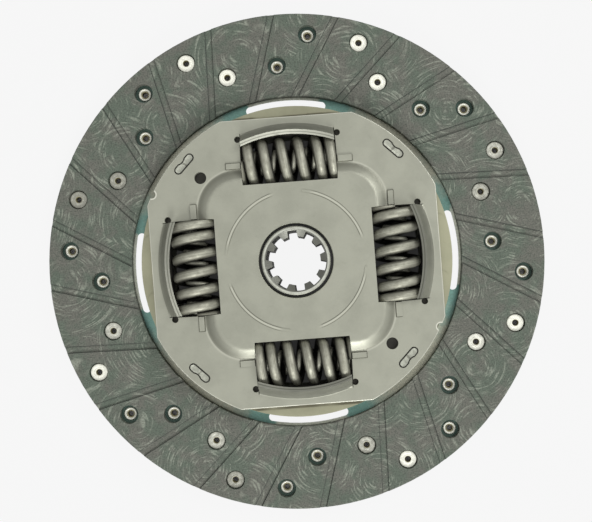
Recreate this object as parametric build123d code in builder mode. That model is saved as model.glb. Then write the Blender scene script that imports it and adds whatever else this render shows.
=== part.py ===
"""Clutch disc with a four-spring torsion damper and a ten-tooth splined hub.

The disc lies flat on the rear end of its hub. The origin is on the hub's axis
at that end, +Z points to the front, and all lengths are millimetres.
"""

from build123d import *
from math import asin, atan, cos, degrees, radians, sin, sqrt
import os

os.makedirs("parts", exist_ok=True)

# ----------------------------------------------------------------------------
# Driving dimensions
# ----------------------------------------------------------------------------

# Angles of the three patterns about the axis, counter-clockwise from +X.
damper_angle = 4.3
spline_angle = 26.2
facing_flip_angle = 26.75

# Clearances
running_gap = 0.05
fixed_gap = 0.05
spring_end_gap = 0.05
spring_side_gap = 0.2
nested_spring_gap = 0.3
stake_gap = 0.12
stop_gap = 0.35
head_gap = 0.3

# Used to pick edges by radius and height
tolerance = 0.01

# Friction facings
facing_outer_radius = 120.0
facing_inner_radius = 80.0
facing_thickness = 3.5
facing_edge_chamfer = 0.3
groove_count = 24
groove_width = 3.0
groove_depth = 0.8
groove_tangent_radius = 37.0
groove_outer_angle = 6.1

# Facing rivets: each facing is held by its own rivets, and has clearance
# holes over the tails of the other facing's rivets.
rivets_per_ring = 8
outer_ring_share = 0.7525
inner_ring_share = 0.3825
own_outer_angle = 29.3
own_inner_angle = 20.8
rivet_head_radius = 4.15
rivet_head_height = 1.0
rivet_head_edge = 0.3
rivet_shank_radius = 2.5
rivet_bore_radius = 1.4
rivet_tail_radius = 3.1
rivet_tail_height = 0.9
rivet_tail_mouth_radius = 1.9
rivet_seat_height = 1.3
counterbore_radius = 4.6
tail_clearance_radius = 4.5

# Cushion disc
cushion_thickness = 0.8
paddle_lift = 0.4
paddle_count = 16
vent_land = 2.7
paddle_ramp_length = 3.0
paddle_outer_margin = 1.6
slit_width = 2.4
slit_eye_radius = 2.4
slit_eye_overlap = 0.6
cushion_inner_radius = 66.5
vent_inner_radius = 74.8
vent_outer_radius = 78.9
vent_sweep = 29.2

# Side plates
plate_radius = 75.5
plate_flat = 68.7
plate_thickness = 2.5
plate_spacing = 7.6
plate_edge_radius = 0.35
plate_hole_radius = 17.6
dome_foot = 44.8
dome_top = 40.2
dome_foot_corner = 18.7
dome_top_corner = 14.6
dome_rise = 2.6
dome_foot_blend = 3.0
dome_top_blend = 4.0
bead_radius = 33.2
bead_sweep = 62.0
bead_width = 1.1
bead_height = 0.35
rib_length = 7.4
rib_width = 3.1
rib_height = 0.8
rib_radius = 46.9
rib_inset = 0.35
locating_hole_radius = 2.85
locating_hole_at = 60.2
edge_notch_radius = 1.8
edge_notch_angle = -28.8

# Windows for the damper springs
window_count = 4
window_length = 45.0
window_inner = 37.3
window_end_bulge = 0.4
lip_tip_radius = 61.7
lip_tip_height = 7.8
lip_angle = 61.0
lip_thickness = 2.3
lip_bend = 2.6
lip_end_gap = 0.3
lip_half_sweep = 30.0
relief_radius = 1.55
relief_at = 64.0
relief_angle = 21.7

# Damper springs
spring_circle_radius = 48.2
outer_spring_radius = 11.6
outer_wire_radius = 2.6
outer_pitch = 8.3
outer_end_pitch = 5.25
inner_wire_radius = 1.3
inner_pitch = 4.9
inner_end_pitch = 2.65
closed_turns = 0.75
outer_coil_start = -140.0
inner_coil_start = 0.0

# Hub
hub_length = 23.6
neck_radius = 16.25
neck_chamfer = 0.5
neck_blend = 1.2
flange_thickness = 6.0
flange_mid_height = 13.0
flange_radius = 72.5
flange_flat = 67.5
flange_edge_chamfer = 0.4
twist_limit = 8.0
spline_teeth = 10
spline_major_radius = 14.29
spline_minor_radius = 11.575
spline_space_width = 4.46
spline_mouth_radius = 14.8
spline_mouth_depth = 2.4

# Spacer tabs that join the side plates and stop the hub's twist
tab_radius = 70.4
tab_thickness = 3.9
tab_body_length = 16.0
tab_tenon_length = 11.8
tab_waist_depth = 0.6
tab_waist_radius = 4.0
tab_stake_height = 0.3
tab_stake_chamfer = 0.25

# Plate rivets
plate_rivet_spread = 11.3
plate_rivet_radius = 71.0
plate_rivet_shank = 2.6
plate_rivet_head_radius = 3.9
plate_rivet_rear_height = 1.5
plate_rivet_rim_height = 0.5
plate_rivet_crown_radius = 2.3

# Friction pack between the hub flange and the side plates
bush_collar_radius = 19.5
bush_sink = 0.9
washer_inner_radius = 20.0
friction_washer_radius = 34.0
front_washer_thickness = 1.4
rear_washer_thickness = 2.0
steel_ring_radius = 33.0
pressure_ring_thickness = 0.8
diaphragm_radius = 31.0
diaphragm_inner_radius = 21.5
diaphragm_thickness = 0.8
flange_clearance = 0.2

# ----------------------------------------------------------------------------
# Heights and placements that follow
# ----------------------------------------------------------------------------

flange_front = flange_mid_height + flange_thickness / 2
flange_rear = flange_mid_height - flange_thickness / 2
front_plate_seat = flange_mid_height + plate_spacing / 2
rear_plate_seat = flange_mid_height - plate_spacing / 2
cushion_front = rear_plate_seat - plate_thickness
cushion_rear = cushion_front - cushion_thickness
cushion_mid = (cushion_front + cushion_rear) / 2
front_facing_seat = cushion_front + paddle_lift
rear_facing_seat = cushion_rear - paddle_lift

pack_depth = (plate_spacing - flange_thickness) / 2 + dome_rise
flange_window_inner = spring_circle_radius - outer_spring_radius - spring_side_gap
flange_window_outer = spring_circle_radius + outer_spring_radius + spring_side_gap
spring_length = window_length - 2 * spring_end_gap

damper = Plane.XY.rotated((0, 0, damper_angle))
damper_x = damper.x_dir
window_angles = [damper_angle + 360 / window_count * k for k in range(window_count)]
tab_angles = [angle + 180 / window_count for angle in window_angles]

front_plate_plane = Plane(origin=(0, 0, front_plate_seat), x_dir=damper_x, z_dir=(0, 0, 1))
rear_plate_plane = Plane(origin=(0, 0, rear_plate_seat), x_dir=damper_x, z_dir=(0, 0, -1))

flip_x = (cos(radians(facing_flip_angle)), sin(radians(facing_flip_angle)), 0)
other_outer_angle = facing_flip_angle - own_outer_angle
other_inner_angle = facing_flip_angle - own_inner_angle
front_facing_plane = Plane(origin=(0, 0, front_facing_seat), z_dir=(0, 0, 1))
rear_facing_plane = Plane(origin=(0, 0, rear_facing_seat), x_dir=flip_x, z_dir=(0, 0, -1))


def polar_point(radius, angle):
    """The point at a radius and an angle in degrees about the axis."""
    return (radius * cos(radians(angle)), radius * sin(radians(angle)))


def radial_plane(angle, height=0.0):
    """The upright plane through the axis at an angle: X outwards, Y up."""
    outward = (cos(radians(angle)), sin(radians(angle)), 0)
    normal = (sin(radians(angle)), -cos(radians(angle)), 0)
    return Plane(origin=(0, 0, height), x_dir=outward, z_dir=normal)


def finish(piece, label):
    """Label a finished piece and write it to its own file."""
    piece.label = label
    export_step(piece, f"parts/{label}.step")


# ----------------------------------------------------------------------------
# Friction facings
# ----------------------------------------------------------------------------

facing_width = facing_outer_radius - facing_inner_radius
outer_ring_radius = facing_inner_radius + facing_width * outer_ring_share
inner_ring_radius = facing_inner_radius + facing_width * inner_ring_share
groove_start = groove_outer_angle - degrees(asin(groove_tangent_radius / facing_outer_radius))
groove_inner_reach = sqrt(facing_inner_radius**2 - groove_tangent_radius**2)
groove_outer_reach = sqrt(facing_outer_radius**2 - groove_tangent_radius**2)
groove_overrun = 2 * groove_width
groove_length = groove_outer_reach - groove_inner_reach + 2 * groove_overrun
groove_middle = (groove_outer_reach + groove_inner_reach) / 2


def make_facing(label, seat):
    """A facing ring that stands on its seat plane, grooves and rivet pockets outwards."""
    with BuildPart() as facing:
        with BuildSketch(seat):
            Circle(facing_outer_radius)
            Circle(facing_inner_radius, mode=Mode.SUBTRACT)
        extrude(amount=facing_thickness)
        rims = facing.edges().filter_by(GeomType.CIRCLE)
        chamfer(rims.group_by(Axis(seat.origin, seat.z_dir))[-1], facing_edge_chamfer)
        with BuildSketch(seat.offset(facing_thickness)):
            with PolarLocations(0, groove_count, start_angle=groove_start):
                with Locations((groove_middle, groove_tangent_radius)):
                    Rectangle(groove_length, groove_width)
        extrude(amount=-groove_depth, mode=Mode.SUBTRACT)
        with BuildSketch(seat.offset(rivet_seat_height)):
            with PolarLocations(outer_ring_radius, rivets_per_ring, start_angle=own_outer_angle):
                Circle(counterbore_radius)
            with PolarLocations(inner_ring_radius, rivets_per_ring, start_angle=own_inner_angle):
                Circle(counterbore_radius)
        extrude(amount=facing_thickness, mode=Mode.SUBTRACT)
        with BuildSketch(seat):
            with PolarLocations(outer_ring_radius, rivets_per_ring, start_angle=own_outer_angle):
                Circle(rivet_shank_radius + fixed_gap)
            with PolarLocations(inner_ring_radius, rivets_per_ring, start_angle=own_inner_angle):
                Circle(rivet_shank_radius + fixed_gap)
            with PolarLocations(outer_ring_radius, rivets_per_ring, start_angle=other_outer_angle):
                Circle(tail_clearance_radius)
            with PolarLocations(inner_ring_radius, rivets_per_ring, start_angle=other_inner_angle):
                Circle(tail_clearance_radius)
        extrude(amount=facing_thickness, mode=Mode.SUBTRACT)
    finish(facing.part, label)


make_facing("front_facing", front_facing_plane)
make_facing("rear_facing", rear_facing_plane)


# ----------------------------------------------------------------------------
# Facing rivets: semi-tubular, with the tail rolled over the cushion disc
# ----------------------------------------------------------------------------

head_top = rivet_seat_height + rivet_head_height
tail_top = -cushion_thickness
roll_radius = (rivet_tail_radius - rivet_tail_mouth_radius) / 2
roll_start = tail_top - rivet_tail_height + roll_radius

with BuildPart() as facing_rivet:
    with BuildSketch(Plane.XZ):
        with BuildLine():
            Polyline(
                (rivet_bore_radius, tail_top),
                (rivet_bore_radius, head_top - rivet_head_edge),
                (rivet_bore_radius + rivet_head_edge, head_top),
                (rivet_head_radius - rivet_head_edge, head_top),
                (rivet_head_radius, head_top - rivet_head_edge),
                (rivet_head_radius, rivet_seat_height),
                (rivet_shank_radius, rivet_seat_height),
                (rivet_shank_radius, tail_top),
                (rivet_tail_radius, tail_top),
                (rivet_tail_radius, roll_start),
            )
            ThreePointArc(
                (rivet_tail_radius, roll_start),
                (rivet_tail_radius - roll_radius, roll_start - roll_radius),
                (rivet_tail_radius - 2 * roll_radius, roll_start),
            )
            Line((rivet_tail_radius - 2 * roll_radius, roll_start), (rivet_bore_radius, tail_top))
        make_face()
    revolve(axis=Axis.Z)


def make_facing_rivets(label, seat, ring_radius, first_angle):
    """One ring of rivets whose heads sit in the facing on the given seat plane."""
    with BuildPart() as rivets:
        with Locations(seat):
            with PolarLocations(ring_radius, rivets_per_ring, start_angle=first_angle):
                add(facing_rivet.part)
    finish(rivets.part, label)


make_facing_rivets("front_outer_rivets", front_facing_plane, outer_ring_radius, own_outer_angle)
make_facing_rivets("front_inner_rivets", front_facing_plane, inner_ring_radius, own_inner_angle)
make_facing_rivets("rear_outer_rivets", rear_facing_plane, outer_ring_radius, own_outer_angle)
make_facing_rivets("rear_inner_rivets", rear_facing_plane, inner_ring_radius, own_inner_angle)


# ----------------------------------------------------------------------------
# Cushion disc: a flat spring-steel ring with paddles set forward and back in turn
# ----------------------------------------------------------------------------

paddle_pitch = 360 / paddle_count
paddle_ramp_start = vent_outer_radius + vent_land
paddle_outer_radius = facing_outer_radius - paddle_outer_margin
paddle_flat_start = paddle_ramp_start + paddle_ramp_length
paddle_root = paddle_ramp_start - paddle_ramp_length / 2
front_paddle_angle = (own_outer_angle + own_inner_angle) / 2
rivet_hole_radius = rivet_shank_radius + fixed_gap
half = cushion_thickness / 2
vent_radius = (vent_inner_radius + vent_outer_radius) / 2
vent_width = vent_outer_radius - vent_inner_radius
vent_arc_sweep = vent_sweep - 2 * degrees(vent_width / 2 / vent_radius)
tab_notch_depth = 3 * tab_thickness
tab_notch_middle = tab_radius - tab_thickness / 2
slit_start = paddle_ramp_start + slit_eye_radius - slit_eye_overlap
slit_run = facing_outer_radius - slit_start


with BuildPart() as cushion_disc:
    with BuildSketch(Plane.XY.offset(cushion_rear)):
        Circle(paddle_ramp_start)
        Circle(cushion_inner_radius, mode=Mode.SUBTRACT)
    extrude(amount=cushion_thickness)
    for index in range(paddle_count):
        lift = paddle_lift if index % 2 == 0 else -paddle_lift
        start = front_paddle_angle + paddle_pitch * (index - 0.5)
        with BuildSketch(radial_plane(start, cushion_mid)):
            with BuildLine():
                Polyline(
                    (paddle_root, -half),
                    (paddle_ramp_start, -half),
                    (paddle_flat_start, lift - half),
                    (paddle_outer_radius, lift - half),
                    (paddle_outer_radius, lift + half),
                    (paddle_flat_start, lift + half),
                    (paddle_ramp_start, half),
                    (paddle_root, half),
                    close=True,
                )
            make_face()
        revolve(axis=Axis.Z, revolution_arc=paddle_pitch)
    with BuildSketch(Plane.XY.offset(cushion_rear - paddle_lift)):
        with PolarLocations(0, paddle_count, start_angle=front_paddle_angle + paddle_pitch / 2):
            with Locations((slit_start + slit_run / 2, 0)):
                Rectangle(slit_run, slit_width)
            with Locations((slit_start, 0)):
                Circle(slit_eye_radius)
        with PolarLocations(outer_ring_radius, rivets_per_ring, start_angle=own_outer_angle):
            Circle(rivet_hole_radius)
        with PolarLocations(inner_ring_radius, rivets_per_ring, start_angle=own_inner_angle):
            Circle(rivet_hole_radius)
        with PolarLocations(outer_ring_radius, rivets_per_ring, start_angle=other_outer_angle):
            Circle(rivet_hole_radius)
        with PolarLocations(inner_ring_radius, rivets_per_ring, start_angle=other_inner_angle):
            Circle(rivet_hole_radius)
        for side in (-1, 1):
            rivet_start = damper_angle + side * plate_rivet_spread
            with PolarLocations(plate_rivet_radius, window_count, start_angle=rivet_start):
                Circle(plate_rivet_shank + fixed_gap)
        with PolarLocations(tab_notch_middle, window_count, start_angle=tab_angles[0]):
            Rectangle(tab_notch_depth, tab_body_length)
        for angle in window_angles:
            vent_arc = CenterArc((0, 0), vent_radius, angle - vent_arc_sweep / 2, vent_arc_sweep)
            SlotArc(vent_arc, vent_width)
    extrude(amount=cushion_thickness + 2 * paddle_lift, mode=Mode.SUBTRACT)
finish(cushion_disc.part, "cushion_disc")


# ----------------------------------------------------------------------------
# Side plates
# ----------------------------------------------------------------------------

lip_run = (cos(radians(lip_angle)), sin(radians(lip_angle)))
lip_outer_foot = lip_tip_radius + (lip_tip_height - plate_thickness) * lip_run[0] / lip_run[1]
lip_inner_tip = (
    lip_tip_radius - lip_thickness * lip_run[1],
    lip_tip_height - lip_thickness * lip_run[0],
)
lip_inner_foot = lip_inner_tip[0] + lip_inner_tip[1] * lip_run[0] / lip_run[1]
window_cut_radius = lip_inner_foot + lip_bend
window_half = window_length / 2
window_corner = sqrt(window_cut_radius**2 - window_half**2)

with BuildSketch() as window_outline:
    with BuildLine():
        Line((window_inner, window_half), (window_inner, -window_half))
        ThreePointArc(
            (window_inner, -window_half),
            ((window_inner + window_corner) / 2, -window_half - window_end_bulge),
            (window_corner, -window_half),
        )
        ThreePointArc(
            (window_corner, -window_half),
            (window_cut_radius, 0),
            (window_corner, window_half),
        )
        ThreePointArc(
            (window_corner, window_half),
            ((window_inner + window_corner) / 2, window_half + window_end_bulge),
            (window_inner, window_half),
        )
    make_face()

lip_half_length = window_half - lip_end_gap

# The lip along the outer edge of a window, bent away from the hub flange.
with BuildPart() as window_lip:
    with BuildSketch(radial_plane(-lip_half_sweep)) as lip_section:
        with BuildLine():
            Polyline(
                lip_inner_tip,
                (lip_inner_foot, 0),
                (window_cut_radius + lip_bend, 0),
                (window_cut_radius + lip_bend, plate_thickness),
                (lip_outer_foot, plate_thickness),
                (lip_tip_radius, lip_tip_height),
                close=True,
            )
        make_face()
        corners = lip_section.vertices().sort_by(Axis.X)
        fillet(corners.filter_by_position(Axis.X, 0, window_cut_radius)[-2:], lip_bend)
    revolve(axis=Axis.Z, revolution_arc=2 * lip_half_sweep)
    with BuildSketch(Plane.XY):
        with Locations((window_cut_radius, 0)):
            Rectangle(window_cut_radius, 2 * lip_half_length)
    extrude(amount=lip_tip_height, mode=Mode.INTERSECT)

def tenon_outline(gap):
    """The waisted section of a spacer tab's tenon, grown by a gap; X points outwards."""
    with BuildSketch() as outline:
        SlotOverall(tab_tenon_length + 2 * gap, tab_thickness + 2 * gap, rotation=90)
        with Locations((tab_thickness / 2 - tab_waist_depth + tab_waist_radius, 0)):
            Circle(tab_waist_radius - gap, mode=Mode.SUBTRACT)
    return outline.sketch


tab_slot = tenon_outline(stake_gap)


def press_side_plate(label, seat, is_front):
    """A side plate pressed outwards from its seat plane, towards the plane's normal."""
    with BuildPart() as plate:
        with BuildSketch(seat):
            Circle(plate_radius)
            if is_front:
                Rectangle(2 * plate_flat, 2 * plate_flat, mode=Mode.INTERSECT)
        extrude(amount=plate_thickness)
        outward = Axis(seat.origin, seat.z_dir)
        fillet(plate.faces().sort_by(outward)[-1].edges(), plate_edge_radius)

        # Raised centre, pressed from the sheet so that it is hollow behind.
        with BuildSketch(seat.offset(plate_thickness)):
            RectangleRounded(2 * dome_foot, 2 * dome_foot, dome_foot_corner)
        with BuildSketch(seat.offset(plate_thickness + dome_rise)):
            RectangleRounded(2 * dome_top, 2 * dome_top, dome_top_corner)
        loft(ruled=True)
        fillet(plate.faces().sort_by(outward)[-1].edges(), dome_top_blend)
        rim_face = plate.faces().filter_by(outward).sort_by(outward)[-2]
        fillet(rim_face.inner_wires()[0].edges(), dome_foot_blend)
        with BuildSketch(seat):
            RectangleRounded(2 * dome_foot, 2 * dome_foot, dome_foot_corner)
        with BuildSketch(seat.offset(dome_rise)):
            RectangleRounded(2 * dome_top, 2 * dome_top, dome_top_corner)
        loft(ruled=True, mode=Mode.SUBTRACT)

        # Windows, with a lip along each outer edge and a relief hole at each end of the lip.
        with BuildSketch(seat):
            with PolarLocations(0, window_count):
                add(window_outline.sketch)
        extrude(amount=plate_thickness + dome_rise, mode=Mode.SUBTRACT)
        with Locations(seat):
            with PolarLocations(0, window_count):
                add(window_lip.part)
        with BuildSketch(seat):
            for side in (-1, 1):
                with PolarLocations(relief_at, window_count, start_angle=side * relief_angle):
                    Circle(relief_radius)
            with PolarLocations(tab_radius, window_count, start_angle=180 / window_count):
                add(tab_slot)
            Circle(plate_hole_radius)
        extrude(amount=lip_tip_height, mode=Mode.SUBTRACT)

        # Stiffening ribs at both ends of each window, half sheared through the sheet.
        rib_middle = window_half + window_end_bulge + rib_length / 2
        for side in (-1, 1):
            with BuildSketch(seat.offset(plate_thickness)):
                with PolarLocations(0, window_count):
                    with Locations((rib_radius, side * rib_middle)):
                        Rectangle(rib_width, rib_length)
            extrude(amount=rib_height)
            with BuildSketch(seat):
                with PolarLocations(0, window_count):
                    with Locations((rib_radius, side * rib_middle)):
                        Rectangle(rib_width - 2 * rib_inset, rib_length - 2 * rib_inset)
            extrude(amount=rib_height, mode=Mode.SUBTRACT)

        if is_front:
            with BuildSketch(seat.offset(plate_thickness + dome_rise)):
                for index in range(window_count):
                    middle = 180 / window_count + 360 / window_count * index
                    SlotArc(CenterArc((0, 0), bead_radius, middle - bead_sweep / 2, bead_sweep), bead_width)
            extrude(amount=bead_height)
            with BuildSketch(seat):
                with PolarLocations(locating_hole_at, 2, start_angle=tab_angles[1] - damper_angle):
                    Circle(locating_hole_radius)
                with PolarLocations(plate_radius, 2, start_angle=edge_notch_angle):
                    Circle(edge_notch_radius)
            extrude(amount=plate_thickness, mode=Mode.SUBTRACT)
        else:
            with BuildSketch(seat):
                for side in (-1, 1):
                    rivet_start = side * plate_rivet_spread
                    with PolarLocations(plate_rivet_radius, window_count, start_angle=rivet_start):
                        Circle(plate_rivet_shank + fixed_gap)
            extrude(amount=plate_thickness, mode=Mode.SUBTRACT)
    finish(plate.part, label)


press_side_plate("front_plate", front_plate_plane, True)
press_side_plate("rear_plate", rear_plate_plane, False)


# ----------------------------------------------------------------------------
# Rivets that hold the cushion disc to the rear plate
# ----------------------------------------------------------------------------

plate_rivet_grip = plate_thickness + cushion_thickness
front_head_height = flange_rear - rear_plate_seat - head_gap

with BuildPart() as plate_rivet:
    with BuildSketch(Plane.XZ):
        with BuildLine():
            Polyline(
                (0, -plate_rivet_rear_height),
                (plate_rivet_crown_radius, -plate_rivet_rear_height),
                (plate_rivet_head_radius, -plate_rivet_rim_height),
                (plate_rivet_head_radius, 0),
                (plate_rivet_shank, 0),
                (plate_rivet_shank, plate_rivet_grip),
                (plate_rivet_head_radius, plate_rivet_grip),
                (plate_rivet_head_radius, plate_rivet_grip + front_head_height),
                (0, plate_rivet_grip + front_head_height),
                close=True,
            )
        make_face()
    revolve(axis=Axis.Z)

with BuildPart() as plate_rivets:
    for side in (-1, 1):
        rivet_start = damper_angle + side * plate_rivet_spread
        with Locations(Plane.XY.offset(cushion_rear)):
            with PolarLocations(plate_rivet_radius, window_count, start_angle=rivet_start):
                add(plate_rivet.part)
finish(plate_rivets.part, "plate_rivets")


# ----------------------------------------------------------------------------
# Hub: splined sleeve with the flange that carries the spring windows
# ----------------------------------------------------------------------------

tab_inner_face = tab_radius - tab_thickness / 2
notch_floor = tab_inner_face - stop_gap
notch_half_angle = degrees(atan(tab_body_length / 2 / tab_inner_face)) + twist_limit
notch_half_angle += degrees(stop_gap / tab_inner_face)

with BuildPart() as hub:
    with BuildSketch(Plane.XY.offset(flange_rear)):
        Circle(flange_radius)
        Rectangle(2 * flange_flat, 2 * flange_flat, rotation=damper_angle, mode=Mode.INTERSECT)
    extrude(amount=flange_thickness)
    chamfer(hub.faces().filter_by(Axis.Z).edges(), flange_edge_chamfer)
    with BuildSketch(Plane.XY):
        Circle(neck_radius)
    extrude(amount=hub_length)
    neck_rims = hub.edges().filter_by(GeomType.CIRCLE).filter_by(
        lambda edge: abs(edge.radius - neck_radius) < tolerance
    )
    chamfer(neck_rims.group_by(Axis.Z)[0] + neck_rims.group_by(Axis.Z)[-1], neck_chamfer)
    fillet(
        hub.edges().filter_by(GeomType.CIRCLE).filter_by(
            lambda edge: abs(edge.radius - neck_radius) < tolerance
            and flange_rear - tolerance < edge.center().Z < flange_front + tolerance
        ),
        neck_blend,
    )
    with BuildSketch(Plane.XY.offset(flange_rear)):
        for angle in tab_angles:
            with BuildLine():
                first = angle - notch_half_angle
                last = angle + notch_half_angle
                outside = flange_radius + tab_thickness
                Line(polar_point(notch_floor, first), polar_point(outside, first))
                Line(polar_point(outside, first), polar_point(outside, last))
                Line(polar_point(outside, last), polar_point(notch_floor, last))
                ThreePointArc(
                    polar_point(notch_floor, last),
                    polar_point(notch_floor, angle),
                    polar_point(notch_floor, first),
                )
            make_face()
        with PolarLocations(0, window_count, start_angle=damper_angle):
            with Locations(((flange_window_inner + flange_window_outer) / 2, 0)):
                Rectangle(flange_window_outer - flange_window_inner, window_length)
    extrude(amount=flange_thickness, mode=Mode.SUBTRACT)
    with BuildSketch(Plane.XY) as spline:
        with PolarLocations(0, spline_teeth, start_angle=spline_angle):
            with Locations((spline_major_radius / 2, 0)):
                Rectangle(spline_major_radius, spline_space_width)
        Circle(spline_minor_radius)
        Circle(spline_major_radius, mode=Mode.INTERSECT)
    extrude(amount=hub_length, mode=Mode.SUBTRACT)
    with Locations((0, 0, spline_mouth_depth / 2)):
        Cone(spline_mouth_radius, spline_minor_radius, spline_mouth_depth, mode=Mode.SUBTRACT)
    with Locations((0, 0, hub_length - spline_mouth_depth / 2)):
        Cone(spline_minor_radius, spline_mouth_radius, spline_mouth_depth, mode=Mode.SUBTRACT)
finish(hub.part, "hub")


# ----------------------------------------------------------------------------
# Spacer tabs: flat bars between the side plates, staked over at both ends
# ----------------------------------------------------------------------------

def make_spacer_tab(label, angle):
    """One tab, with its body between the plates and a staked tenon through each."""
    tenon_base = rear_plate_seat - plate_thickness - tab_stake_height
    base = Plane(origin=(0, 0, tenon_base), x_dir=(*polar_point(1, angle), 0), z_dir=(0, 0, 1))
    with BuildPart() as tab:
        with BuildSketch(base):
            with Locations((tab_radius, 0)):
                add(tenon_outline(0))
        extrude(amount=plate_spacing + 2 * (plate_thickness + tab_stake_height))
        chamfer(tab.faces().filter_by(Axis.Z).edges(), tab_stake_chamfer)
        with BuildSketch(base.offset(plate_thickness + tab_stake_height)):
            with Locations((tab_radius, 0)):
                Rectangle(tab_thickness, tab_body_length)
        extrude(amount=plate_spacing)
    finish(tab.part, label)


for index, angle in enumerate(tab_angles):
    make_spacer_tab(f"spacer_tab_{index + 1}", angle)


# ----------------------------------------------------------------------------
# Friction pack: a bush, washers and a diaphragm spring on the hub's neck
# ----------------------------------------------------------------------------

front_flange_plane = Plane(origin=(0, 0, flange_front), z_dir=(0, 0, 1))
rear_flange_plane = Plane(origin=(0, 0, flange_rear), z_dir=(0, 0, -1))
bush_bore = neck_radius + running_gap
bush_sleeve_radius = plate_hole_radius - fixed_gap
collar_start = neck_blend + flange_clearance
diaphragm_space = pack_depth - front_washer_thickness - pressure_ring_thickness
front_pressure_seat = flange_front + front_washer_thickness


def make_bush(label, flange_face):
    """A collared bush that centres the hub's neck in a side plate's hole."""
    with BuildPart() as bush:
        with BuildSketch(flange_face.offset(collar_start)):
            Circle(bush_collar_radius)
            Circle(bush_bore, mode=Mode.SUBTRACT)
        extrude(amount=pack_depth - collar_start)
        with BuildSketch(flange_face.offset(pack_depth)):
            Circle(bush_sleeve_radius)
            Circle(bush_bore, mode=Mode.SUBTRACT)
        extrude(amount=plate_thickness - bush_sink)
    finish(bush.part, label)


def make_washer(label, face, thickness, inner_radius, outer_radius):
    """A flat washer that stands on its face plane."""
    with BuildPart() as washer:
        with BuildSketch(face):
            Circle(outer_radius)
            Circle(inner_radius, mode=Mode.SUBTRACT)
        extrude(amount=thickness)
    finish(washer.part, label)


make_bush("front_bush", front_flange_plane)
make_bush("rear_bush", rear_flange_plane)
make_washer(
    "front_friction_washer", front_flange_plane, front_washer_thickness,
    washer_inner_radius, friction_washer_radius,
)
make_washer(
    "pressure_ring", front_flange_plane.offset(front_washer_thickness), pressure_ring_thickness,
    washer_inner_radius, steel_ring_radius,
)
make_washer(
    "rear_friction_washer", rear_flange_plane, rear_washer_thickness,
    washer_inner_radius, friction_washer_radius,
)
make_washer(
    "thrust_ring", rear_flange_plane.offset(rear_washer_thickness), pack_depth - rear_washer_thickness,
    washer_inner_radius, steel_ring_radius,
)

with BuildPart() as diaphragm_spring:
    with BuildSketch(radial_plane(0, front_pressure_seat + pressure_ring_thickness)):
        with BuildLine():
            Polyline(
                (diaphragm_radius, 0),
                (diaphragm_radius, diaphragm_thickness),
                (diaphragm_inner_radius, diaphragm_space),
                (diaphragm_inner_radius, diaphragm_space - diaphragm_thickness),
                close=True,
            )
        make_face()
    revolve(axis=Axis.Z)
finish(diaphragm_spring.part, "diaphragm_spring")


# ----------------------------------------------------------------------------
# Damper springs: a coil in each window, with a finer one of the other hand inside
# ----------------------------------------------------------------------------

inner_spring_radius = outer_spring_radius - 2 * outer_wire_radius - nested_spring_gap


def coil_path(coil_radius, pitch, end_pitch, lefthand):
    """Three helices in line up the Z axis: a closed end, the open turns, a closed end."""
    end_rise = end_pitch * closed_turns
    open_rise = spring_length - 2 * end_rise
    turn = -360 if lefthand else 360
    open_start = turn * closed_turns
    open_end = open_start + turn * open_rise / pitch
    lower = Helix(end_pitch, end_rise, coil_radius, lefthand=lefthand)
    middle = Pos(0, 0, end_rise) * Rot(0, 0, open_start) * Helix(
        pitch, open_rise, coil_radius, lefthand=lefthand
    )
    upper = Pos(0, 0, end_rise + open_rise) * Rot(0, 0, open_end) * Helix(
        end_pitch, end_rise, coil_radius, lefthand=lefthand
    )
    return Wire([lower.edge(), middle.edge(), upper.edge()])


def spring_plane(angle, turn):
    """The plane at one end of a window: Z along the spring, X turned about it from upwards."""
    tangent = Vector(-sin(radians(angle)), cos(radians(angle)), 0)
    centre = Vector(*polar_point(spring_circle_radius, angle), flange_mid_height)
    start = (*polar_point(sin(radians(turn)), angle), cos(radians(turn)))
    return Plane(origin=centre - tangent * (spring_length / 2), x_dir=start, z_dir=tangent)


outer_path = coil_path(outer_spring_radius - outer_wire_radius, outer_pitch, outer_end_pitch, False)
inner_path = coil_path(inner_spring_radius - inner_wire_radius, inner_pitch, inner_end_pitch, True)

with BuildPart() as outer_coil:
    with BuildSketch(Plane(outer_path @ 0, z_dir=outer_path % 0)):
        Circle(outer_wire_radius)
    sweep(path=outer_path, is_frenet=True)
    with BuildSketch(Plane.XY):
        Circle(outer_spring_radius + outer_wire_radius)
    extrude(amount=spring_length, mode=Mode.INTERSECT)

with BuildPart() as inner_coil:
    with BuildSketch(Plane(inner_path @ 0, z_dir=inner_path % 0)):
        Circle(inner_wire_radius)
    sweep(path=inner_path, is_frenet=True)
    with BuildSketch(Plane.XY):
        Circle(inner_spring_radius + inner_wire_radius)
    extrude(amount=spring_length, mode=Mode.INTERSECT)

for index, angle in enumerate(window_angles):
    with BuildPart() as outer_spring:
        with Locations(spring_plane(angle, outer_coil_start)):
            add(outer_coil.part)
    finish(outer_spring.part, f"outer_spring_{index + 1}")
    with BuildPart() as inner_spring:
        with Locations(spring_plane(angle, inner_coil_start)):
            add(inner_coil.part)
    finish(inner_spring.part, f"inner_spring_{index + 1}")
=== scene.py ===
"""Clutch disc with a spring damper: its finishes, fine pieces and studio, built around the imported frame."""

import logging
import math
from dataclasses import dataclass
from enum import Enum
from typing import Optional, Sequence, Union

import bmesh
import bpy
from mathutils import Matrix, Vector


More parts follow.
